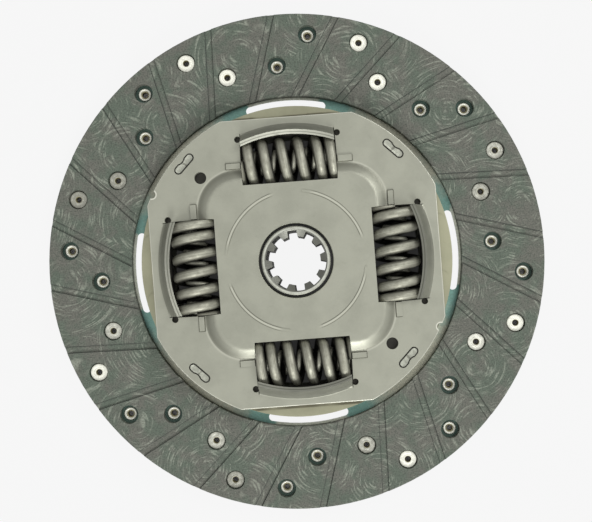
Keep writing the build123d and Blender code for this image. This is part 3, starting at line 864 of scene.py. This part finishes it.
def repeat(
    pattern: bmesh.types.BMesh, places: Sequence[Matrix], values: Sequence[float], layer: str
) -> bmesh.types.BMesh:
    """Copies a small mesh to many places, with a value of its own at each.

    Args:
        pattern: The mesh to copy; it is freed.
        places: Where the copies go.
        values: The value of each copy.
        layer: The name of the attribute that holds the value.

    Returns:
        The copies as one mesh.
    """
    data = bpy.data.meshes.new("pattern")
    pattern.to_mesh(data)
    pattern.free()
    mesh = bmesh.new()
    store = mesh.verts.layers.float.new(layer)
    for place, value in zip(places, values):
        before = len(mesh.verts)
        mesh.from_mesh(data)
        mesh.verts.ensure_lookup_table()
        fresh = mesh.verts[before:]
        bmesh.ops.transform(mesh, matrix=place, verts=fresh)
        for vert in fresh:
            vert[store] = value
    bpy.data.meshes.remove(data)
    return mesh


# Sub-assemblies


@dataclass
class Facing:
    """One friction facing, with the cut edges of its grooves broken, and its grooves' sides and broken edges
    painted dark as shade.
    """

    node: str
    face_up: bool
    groove_depth: float = 0.8
    edge_width: float = 0.22

    def build(self, finishes: Finishes) -> None:
        """Builds the facing.

        Args:
            finishes: The materials.
        """
        mesh = node_mesh(self.node)
        low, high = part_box(self.node)
        outer = high[2] if self.face_up else low[2]
        floor = outer - self.groove_depth * MM * (1 if self.face_up else -1)
        merge_flats(mesh)
        walls = [face for face in mesh.faces if self.is_groove_wall(face, outer, floor)]
        rims = {
            edge
            for face in walls
            for edge in face.edges
            if all(abs(vert.co.z - outer) < WELD for vert in edge.verts)
        }
        for face in walls:
            face.material_index = SECOND
        bmesh.ops.bevel(
            mesh,
            geom=list(rims),
            offset=self.edge_width * MM,
            offset_type="OFFSET",
            segments=1,
            profile=0.5,
            affect="EDGES",
            material=SECOND,
            clamp_overlap=True,
        )
        looks = [finishes.lining, finishes.groove_edge_shade]
        place_piece(mesh, f"{self.node}_lining", Body.DISC, looks, [self.node])

    def is_groove_wall(self, face: bmesh.types.BMFace, outer: float, floor: float) -> bool:
        """Whether a face is the upright side of a groove.

        Args:
            face: The face.
            outer: The height of the wearing face, in metres.
            floor: The height of the grooves' floors, in metres.

        Returns:
            True for a groove's side.
        """
        heights = [vert.co.z for vert in face.verts]
        upright = abs(face.normal.z) < 0.1
        to_top = abs(max(heights) - max(outer, floor)) < WELD
        to_bottom = abs(min(heights) - min(outer, floor)) < WELD
        return upright and to_top and to_bottom


@dataclass
class FacingRivets:
    """One ring of semi-tubular rivets: a coined head in the facing, and a tail rolled over the disc."""

    node: str
    ring_radius: float
    first_angle: float
    seat: float
    turned_over: bool
    glint: Sequence[float]
    count: int = 8
    head_profile: Sequence[Span] = (
        (1.40, -0.80), (1.40, 2.05), (1.46, 2.20), (1.62, 2.28), (2.45, 2.30), (2.58, 2.24), (2.72, 2.30),
        (3.80, 2.30), (4.02, 2.24), (4.12, 2.12), (4.15, 1.98), (4.15, 1.30), (2.50, 1.30), (2.50, -0.80),
    )
    tail_profile: Sequence[Span] = (
        (3.02, -0.80), (3.10, -1.02), (3.08, -1.30), (2.98, -1.52), (2.80, -1.66), (2.56, -1.70),
        (2.32, -1.64), (2.14, -1.48), (2.02, -1.24), (1.90, -0.96), (1.64, -0.84),
    )
    steps: int = 40
    dull_radius: float = 1.95

    def build(self, finishes: Finishes) -> None:
        """Builds the ring of rivets.

        Args:
            finishes: The materials.
        """
        profile = [*self.head_profile, *self.tail_profile]
        flip = Matrix.Rotation(math.pi, 4, "X") if self.turned_over else Matrix.Identity(4)
        places = []
        for index in range(self.count):
            angle = math.radians(self.first_angle) + math.tau * index / self.count
            places.append(Matrix.Translation(polar(self.ring_radius, angle, self.seat)) @ flip)
        rivet = lathe(profile, self.steps)
        for face in rivet.faces:
            if (face.calc_center_median() / MM).to_2d().length < self.dull_radius:
                face.material_index = SECOND
        mesh = repeat(rivet, places, self.glint, "glint")
        looks = [finishes.rivet, finishes.rivet_bore]
        place_piece(mesh, f"{self.node}_plated", Body.DISC, looks, [self.node])


@dataclass
class CoilSpring:
    """One damper spring, coiled turn by turn with closed, ground ends."""

    node: str
    window: int
    coil_radius: float
    wire_radius: float
    crests: Sequence[float]
    hand: Hand
    circle_radius: float = 48.2
    height: float = 13.0
    length: float = 44.9
    steps: int = 32
    sides: int = 20
    keep: float = 0.815
    smooth_angle: float = 50.0
    map_pitch: float = 0.35

    def build(self, finishes: Finishes) -> None:
        """Builds the spring.

        Args:
            finishes: The materials.
        """
        mesh = self.coil()
        self.grind(mesh, 0.0, -1)
        self.grind(mesh, self.length, 1)
        bmesh.ops.recalc_face_normals(mesh, faces=mesh.faces[:])
        self.mark(mesh)
        angle = WINDOW_ANGLE + QUARTER * self.window
        along = Vector((-math.sin(angle), math.cos(angle), 0))
        outward = Vector((math.cos(angle), math.sin(angle), 0))
        middle = polar(self.circle_radius, angle, self.height)
        start = middle - along * (self.length / 2 * MM)
        rows = [(up, outward[axis], along[axis], start[axis]) for axis, up in enumerate((0, 0, 1))]
        bmesh.ops.transform(mesh, matrix=Matrix([*rows, (0, 0, 0, 1)]), verts=mesh.verts[:])
        name, looks = f"{self.node}_coil", [finishes.wire]
        piece = place_piece(mesh, name, Body.SPRINGS, looks, [self.node], self.smooth_angle)
        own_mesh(piece)

    def rise(self, turn: float) -> float:
        """The height of the wire's centre along the spring.

        Args:
            turn: The number of turns from the first crest.

        Returns:
            The height, in millimetres.
        """
        last = len(self.crests) - 1
        index = min(int(turn), last - 1)
        share = turn - index
        here, there = self.crests[index], self.crests[index + 1]
        before = self.crests[index - 1] if index > 0 else 2 * here - there
        after = self.crests[index + 2] if index + 2 <= last else 2 * there - here
        slope_here, slope_there = (there - before) / 2, (after - here) / 2
        square, cube = share**2, share**3
        return (
            here * (2 * cube - 3 * square + 1)
            + slope_here * (cube - 2 * square + share)
            + there * (3 * square - 2 * cube)
            + slope_there * (cube - square)
        )

    def coil(self) -> bmesh.types.BMesh:
        """Winds a ring of points round the spring's axis, one small spin a step.

        Returns:
            The tube, with open ends.
        """
        mesh = bmesh.new()
        radius = self.wire_radius * MM
        verts = bmesh.ops.create_circle(mesh, cap_ends=False, segments=self.sides, radius=radius)["verts"]
        pitch = self.rise(1) - self.rise(0)
        lean = math.atan2(pitch, math.tau * self.coil_radius) * self.hand.value
        upright = Matrix.Rotation(lean, 4, "X") @ Matrix.Rotation(QUARTER, 4, "X")
        start = Matrix.Translation(Vector((self.coil_radius, 0, self.crests[0])) * MM)
        bmesh.ops.transform(mesh, matrix=start @ upright, verts=verts)
        geometry = verts + list({edge for vert in verts for edge in vert.link_edges})
        total = (len(self.crests) - 1) * self.steps
        for step in range(total):
            climb = self.rise((step + 1) / self.steps) - self.rise(step / self.steps)
            spun = bmesh.ops.spin(
                mesh,
                geom=geometry,
                cent=(0, 0, 0),
                axis=(0, 0, 1),
                dvec=(0, 0, climb * MM),
                angle=self.hand.value * math.tau / self.steps,
                steps=1,
            )
            geometry = spun["geom_last"]
        return mesh

    def grind(self, mesh: bmesh.types.BMesh, height: float, side: int) -> None:
        """Grinds one end of the coil flat.

        Args:
            mesh: The coil.
            height: Where the flat end is along the spring, in millimetres.
            side: The way out at that end, 1 or -1.
        """
        cut = bmesh.ops.bisect_plane(
            mesh,
            geom=mesh.verts[:] + mesh.edges[:] + mesh.faces[:],
            plane_co=(0, 0, height * MM),
            plane_no=(0, 0, side),
            clear_outer=True,
        )
        edges = [item for item in cut["geom_cut"] if isinstance(item, bmesh.types.BMEdge)]
        bmesh.ops.holes_fill(mesh, edges=edges, sides=0)
        open_edges = [edge for edge in mesh.edges if edge.is_boundary]
        if open_edges:
            bmesh.ops.holes_fill(mesh, edges=open_edges, sides=0)

    def mark(self, mesh: bmesh.types.BMesh) -> None:
        """Writes the map that runs along and round the wire.

        Args:
            mesh: The coil, along Z.
        """
        store = mesh.verts.layers.float_vector.new("wire")
        last = len(self.crests) - 1
        for vert in mesh.verts:
            x, y, z = vert.co / MM
            turned = (math.atan2(y, x) * self.hand.value / math.tau) % 1
            turns = [turned + index for index in range(last)]
            turn = min(turns, key=lambda value: abs(self.rise(value) - z))
            out = math.hypot(x, y) - self.coil_radius
            section = math.atan2(z - self.rise(turn), out)
            vert[store] = (math.cos(section), math.sin(section), turn * self.map_pitch)


@dataclass
class DamperSprings:
    """The four pairs of nested springs; the radii are a coil's and its wire's."""

    count: int = 4
    outer_radii: Span = (9.0, 2.6)
    inner_radii: Span = (4.8, 1.3)
    outer_crests: Sequence[float] = (-3.2, 2.05, 8.0, 16.45, 24.85, 33.45, 41.05, 46.3)
    inner_crests: Sequence[float] = (-1.3, 1.4, 5.2, 10.1, 15.0, 19.9, 24.8, 29.7, 34.6, 39.5, 43.4, 46.1)

    def build(self, finishes: Finishes) -> None:
        """Builds the springs.

        Args:
            finishes: The materials.
        """
        for window in range(self.count):
            outer, inner = f"outer_spring_{window + 1}", f"inner_spring_{window + 1}"
            CoilSpring(outer, window, *self.outer_radii, self.outer_crests, Hand.RIGHT).build(finishes)
            CoilSpring(
                inner, window, *self.inner_radii, self.inner_crests, Hand.LEFT, steps=24, sides=12
            ).build(finishes)


@dataclass
class SidePlate:
    """A side plate with a rolled bore and chamfered ribs, whose lip bends and half-sheared walls are painted
    dark as shade.

    The bevel of its other edges is held back to the shortest edge of the mesh and comes out as a
    hairline of less than 0.01 mm, so the bright line along the rim is a painted highlight in the finish.
    """

    node: str
    seat: float = 16.8
    outward: int = 1
    edge_width: float = 0.28
    edge_angle: float = 40.0
    thickness: float = 2.5
    rib_height: float = 0.8
    lip_from: float = 56.0
    bore_radius: float = 18.0
    bore_roll: float = 0.45
    rib_break: float = 0.3
    level_within: float = 0.01

    def build(self, finishes: Finishes, finish: bpy.types.Material) -> None:
        """Builds the plate.

        Args:
            finishes: The materials.
            finish: The plate's own material.
        """
        mesh = node_mesh(self.node)
        merge_flats(mesh)
        self.break_edges(mesh)
        self.number_faces(mesh)
        looks = [finish, finishes.cut_edge_highlight, finishes.shaded_rib_wall, finishes.shaded_lip_bend, finishes.lip_edge]
        piece = place_piece(mesh, f"{self.node}_worked", Body.DISC, looks, [self.node])
        bevel = piece.modifiers.new("broken_edges", "BEVEL")
        bevel.width = self.edge_width * MM
        bevel.segments = 2
        bevel.limit_method = "ANGLE"
        bevel.angle_limit = math.radians(self.edge_angle)
        bevel.harden_normals = True
        bevel.material = PlateFace.CUT_EDGE_HIGHLIGHT.value
        flats = piece.modifiers.new("even_flats", "WEIGHTED_NORMAL")
        flats.keep_sharp = True

    def height(self, place: Vector) -> float:
        """How far a place in millimetres is out from the plate's inner face."""
        return (place.z - self.seat) * self.outward

    def break_edges(self, mesh: bmesh.types.BMesh) -> None:
        """Rolls the bore's edge and chamfers the ribs.

        Args:
            mesh: The plate.
        """
        ring = [edge for edge in mesh.edges if self.is_bore_edge(edge)]
        log.info("%s: %d bore edges", self.node, len(ring))
        roll = self.bore_roll * MM
        bmesh.ops.bevel(mesh, geom=ring, offset=roll, segments=3, profile=0.5, affect="EDGES", material=-1)
        ribs = [edge for edge in mesh.edges if self.is_rib_edge(edge)]
        log.info("%s: %d rib edges", self.node, len(ribs))
        bmesh.ops.bevel(
            mesh,
            geom=ribs,
            offset=self.rib_break * MM,
            segments=1,
            profile=0.5,
            affect="EDGES",
            material=PlateFace.SHADED_RIB_WALL.value,
        )

    def is_bore_edge(self, edge: bmesh.types.BMEdge) -> bool:
        """Whether an edge is the bore's outer one.

        Args:
            edge: The edge.

        Returns:
            True for the bore's outer edge.
        """
        middle = (edge.verts[0].co + edge.verts[1].co) / 2 / MM
        inside = middle.to_2d().length < self.bore_radius
        return inside and self.height(middle) > self.thickness and edge.calc_face_angle(0) > 1.0

    def is_rib_edge(self, edge: bmesh.types.BMEdge) -> bool:
        """Whether an edge is a top edge of a half-sheared rib.

        Args:
            edge: The edge.

        Returns:
            True for a rib's top edge.
        """
        top = self.thickness + self.rib_height
        ends = [vert.co / MM for vert in edge.verts]
        level = all(abs(self.height(end) - top) < self.level_within for end in ends)
        return level and edge.calc_face_angle(0) > 1.0 and ends[0].to_2d().length < self.lip_from

    def number_faces(self, mesh: bmesh.types.BMesh) -> None:
        """Numbers the faces of the ribs' walls and the lips.

        Args:
            mesh: The plate.
        """
        for face in mesh.faces:
            middle = face.calc_center_median() / MM
            height = self.height(middle) - self.thickness
            rise = face.normal.z * self.outward
            radius = middle.to_2d().length
            if 0.05 < height < self.rib_height and abs(rise) < 0.5 and radius < self.lip_from:
                face.material_index = PlateFace.SHADED_RIB_WALL.value
            elif height > 0.1 and radius > self.lip_from:
                inward = face.normal.to_2d().dot(middle.to_2d()) < 0
                if inward and rise > 0.5:
                    face.material_index = PlateFace.LIP_EDGE.value
                elif rise < 0.96:
                    face.material_index = PlateFace.SHADED_LIP_BEND.value


@dataclass
class StakedTab:
    """One spacer tab with dished, staked ends; the seam round each end and the ends' sides are painted dark
    as shade.
    """

    node: str
    end_inset: float = 0.6
    seam_width: float = 0.3
    peen_rim: float = 0.5
    peen_depth: float = 0.25
    level_within: float = 0.01

    def build(self, finishes: Finishes) -> None:
        """Builds the tab.

        Args:
            finishes: The materials.
        """
        mesh = node_mesh(self.node)
        low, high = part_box(self.node)
        ends = []
        for face in mesh.faces:
            middle = face.calc_center_median().z
            inset = min(high[2] - middle, middle - low[2])
            if inset < self.end_inset * MM and abs(face.normal.z) < 0.95:
                face.material_index = SECOND
            end = high[2] if face.normal.z > 0 else low[2]
            if abs(face.normal.z) > 0.99 and abs(middle - end) < self.level_within * MM:
                ends.append(face)
        rim = bmesh.ops.inset_region(mesh, faces=ends, thickness=self.seam_width * MM)
        for face in rim["faces"]:
            face.material_index = SECOND
        bmesh.ops.inset_region(mesh, faces=ends, thickness=self.peen_rim * MM, depth=-self.peen_depth * MM)
        looks = [finishes.tab, finishes.seam]
        place_piece(mesh, f"{self.node}_staked", Body.DISC, looks, [self.node])


def dress_node(node: str, finish: bpy.types.Material) -> None:
    """Gives a CAD node that stays as it is its finish.

    Args:
        node: The node's name.
        finish: Its material.
    """
    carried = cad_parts[node]
    carried.data.materials.clear()
    carried.data.materials.append(finish)
    log.info("%s: CAD shape, %s", node, finish.name)


# Studio


@dataclass
class Studio:
    """A pale floor, soft lamps and the camera above the disc; the floor's rings are in millimetres."""

    camera_place: Vector = Vector((0.015, -0.012, 0.464))
    target: Vector = Vector((0.0, 0.0, 0.0106))
    shift: tuple[float, float] = (-0.0539, 0.0422)
    view_width: float = 0.28673
    sensor: float = 36.0
    floor_size: float = 4.0
    floor_white: float = 0.925
    floor_colour: Colour = (0.86, 0.86, 0.86)
    painted_shadow_colour: Colour = (0.10, 0.10, 0.085)
    painted_shadow_inside: Span = (19.0, 22.0)
    painted_shadow_outside: Span = (70.0, 66.0)
    bore: Span = (15.0, 19.0)
    vents_inside: Span = (70.0, 73.5)
    vents_outside: Span = (80.5, 84.0)
    beyond_disc: Span = (116.0, 119.5)
    glow: float = 0.97
    shadow_glow: float = 0.02
    zenith: float = 0.74
    horizon: float = 0.13

    def build(self) -> None:
        """Builds the floor, the light and the camera."""
        self.add_floor()
        self.add_sky()
        self.add_softbox("front_softbox", Vector((0.4, -3.2, 2.3)), size=1.4, power=100.0)
        self.add_softbox("right_softbox", Vector((1.2, 1.0, 1.4)), size=0.9, power=15.0)
        self.add_camera()

    def add_floor(self) -> None:
        """Lays the floor: it glows by itself round the disc and under its openings, is dark elsewhere, and
        has a painted shadow under the disc.
        """
        mesh = bmesh.new()
        bmesh.ops.create_grid(mesh, x_segments=8, y_segments=8, size=self.floor_size / 2)
        data = bpy.data.meshes.new("floor")
        mesh.to_mesh(data)
        mesh.free()
        floor = bpy.data.objects.new("floor", data)
        bpy.context.scene.collection.objects.link(floor)
        paint = Shader("pale_floor")
        length = paint.vector("LENGTH", paint.flat())
        # A painted shadow in a ring under the disc.
        painted_shadow = paint.step(length, *self.painted_shadow_outside)
        painted_shadow = paint.maths("MULTIPLY", paint.step(length, *self.painted_shadow_inside), painted_shadow)
        base = paint.blend(painted_shadow, self.floor_colour, self.painted_shadow_colour)
        paint.finish(Base_Color=base, Roughness=0.9, Specular_IOR_Level=0.1)
        path = paint.tree.nodes.new("ShaderNodeLightPath").outputs
        rays = [path[f"Is {kind} Ray"] for kind in ("Camera", "Glossy", "Transmission")]
        seen = paint.maths("MAXIMUM", *rays)
        white = (self.floor_white,) * 3
        glow = paint.add("ShaderNodeEmission", {"Color": white, "Strength": 1.0}).outputs[0]
        bore = paint.step(length, *self.bore, 1.0, 0.0)
        vents = paint.step(length, *self.vents_outside, 1.0, 0.0)
        vents = paint.maths("MULTIPLY", paint.step(length, *self.vents_inside), vents)
        open_floor = paint.maths("MAXIMUM", bore, vents, paint.step(length, *self.beyond_disc))
        share = paint.maths("MULTIPLY", open_floor, self.glow - self.shadow_glow)
        share = paint.maths("MULTIPLY", seen, paint.maths("ADD", share, self.shadow_glow))
        mixed = paint.add("ShaderNodeMixShader", {0: share, 1: paint.surface.outputs[0], 2: glow}).outputs[0]
        paint.tree.links.new(mixed, paint.output.inputs[0])
        data.materials.append(paint.material)

    def add_sky(self) -> None:
        """Lights everything softly from all round."""
        world = bpy.data.worlds.new("studio")
        world.use_nodes = True
        tree = world.node_tree
        background = tree.nodes["Background"]
        background.inputs["Color"].default_value = (1, 1, 1, 1)
        parts = tree.nodes.new("ShaderNodeSeparateXYZ")
        tree.links.new(tree.nodes.new("ShaderNodeTexCoord").outputs["Generated"], parts.inputs[0])
        fade = tree.nodes.new("ShaderNodeMapRange")
        fade.interpolation_type = "SMOOTHSTEP"
        ends = {"From Min": 0.25, "From Max": 0.85, "To Min": self.horizon, "To Max": self.zenith}
        for name, value in ends.items():
            fade.inputs[name].default_value = value
        tree.links.new(parts.outputs["Z"], fade.inputs["Value"])
        tree.links.new(fade.outputs[0], background.inputs["Strength"])
        bpy.context.scene.world = world

    def add_softbox(self, name: str, place: Vector, size: float, power: float) -> None:
        """Hangs a square lamp that faces the disc.

        Args:
            name: The lamp's name.
            place: Its place.
            size: Its side, in metres.
            power: Its power, in watts.
        """
        lamp = bpy.data.lights.new(name, "AREA")
        lamp.shape = "SQUARE"
        lamp.size = size
        lamp.energy = power
        holder = bpy.data.objects.new(name, lamp)
        holder.location = place
        holder.rotation_euler = (self.target - place).to_track_quat("-Z", "Y").to_euler()
        bpy.context.scene.collection.objects.link(holder)

    def add_camera(self) -> None:
        """Sets the camera above the disc, a little off its axis."""
        camera = bpy.data.cameras.new("camera")
        camera.sensor_width = self.sensor
        camera.lens = self.sensor * (self.camera_place - self.target).z / self.view_width
        camera.shift_x, camera.shift_y = self.shift
        camera.clip_start = 0.01
        holder = bpy.data.objects.new("camera", camera)
        holder.location = self.camera_place
        bpy.context.scene.collection.objects.link(holder)
        bpy.context.scene.camera = holder


def main() -> None:
    """Builds the clutch disc's looks in order, from the outside in."""
    logging.basicConfig(level=logging.INFO, format="%(name)s: %(message)s")
    bpy.context.scene.view_settings.view_transform = "Standard"
    finishes = Finishes()

    Facing("front_facing", True).build(finishes)
    Facing("rear_facing", False).build(finishes)

    for rivets in (
        FacingRivets("front_outer_rivets", OUTER_RING, 29.3, FRONT_SEAT, False, FRONT_OUTER_GLINT),
        FacingRivets("front_inner_rivets", INNER_RING, 20.8, FRONT_SEAT, False, FRONT_INNER_GLINT),
        FacingRivets("rear_outer_rivets", OUTER_RING, -2.55, REAR_SEAT, True, REAR_GLINT),
        FacingRivets("rear_inner_rivets", INNER_RING, 5.95, REAR_SEAT, True, REAR_GLINT),
    ):
        rivets.build(finishes)
    dress_node("cushion_disc", finishes.spring_sheet)

    SidePlate("front_plate").build(finishes, finishes.plate)
    SidePlate("rear_plate", seat=9.2, outward=-1).build(finishes, finishes.rear_plate)
    for index in range(4):
        StakedTab(f"spacer_tab_{index + 1}").build(finishes)
    dress_node("plate_rivets", finishes.rear_plate)

    DamperSprings().build(finishes)

    dress_node("hub", finishes.hub)
    for node in ("front_bush", "rear_bush"):
        dress_node(node, finishes.polymer)
    for node in ("front_friction_washer", "rear_friction_washer"):
        dress_node(node, finishes.washer)
    for node in ("pressure_ring", "thrust_ring", "diaphragm_spring"):
        dress_node(node, finishes.ring)

    Studio().build()


if __name__ == "__main__":
    main()
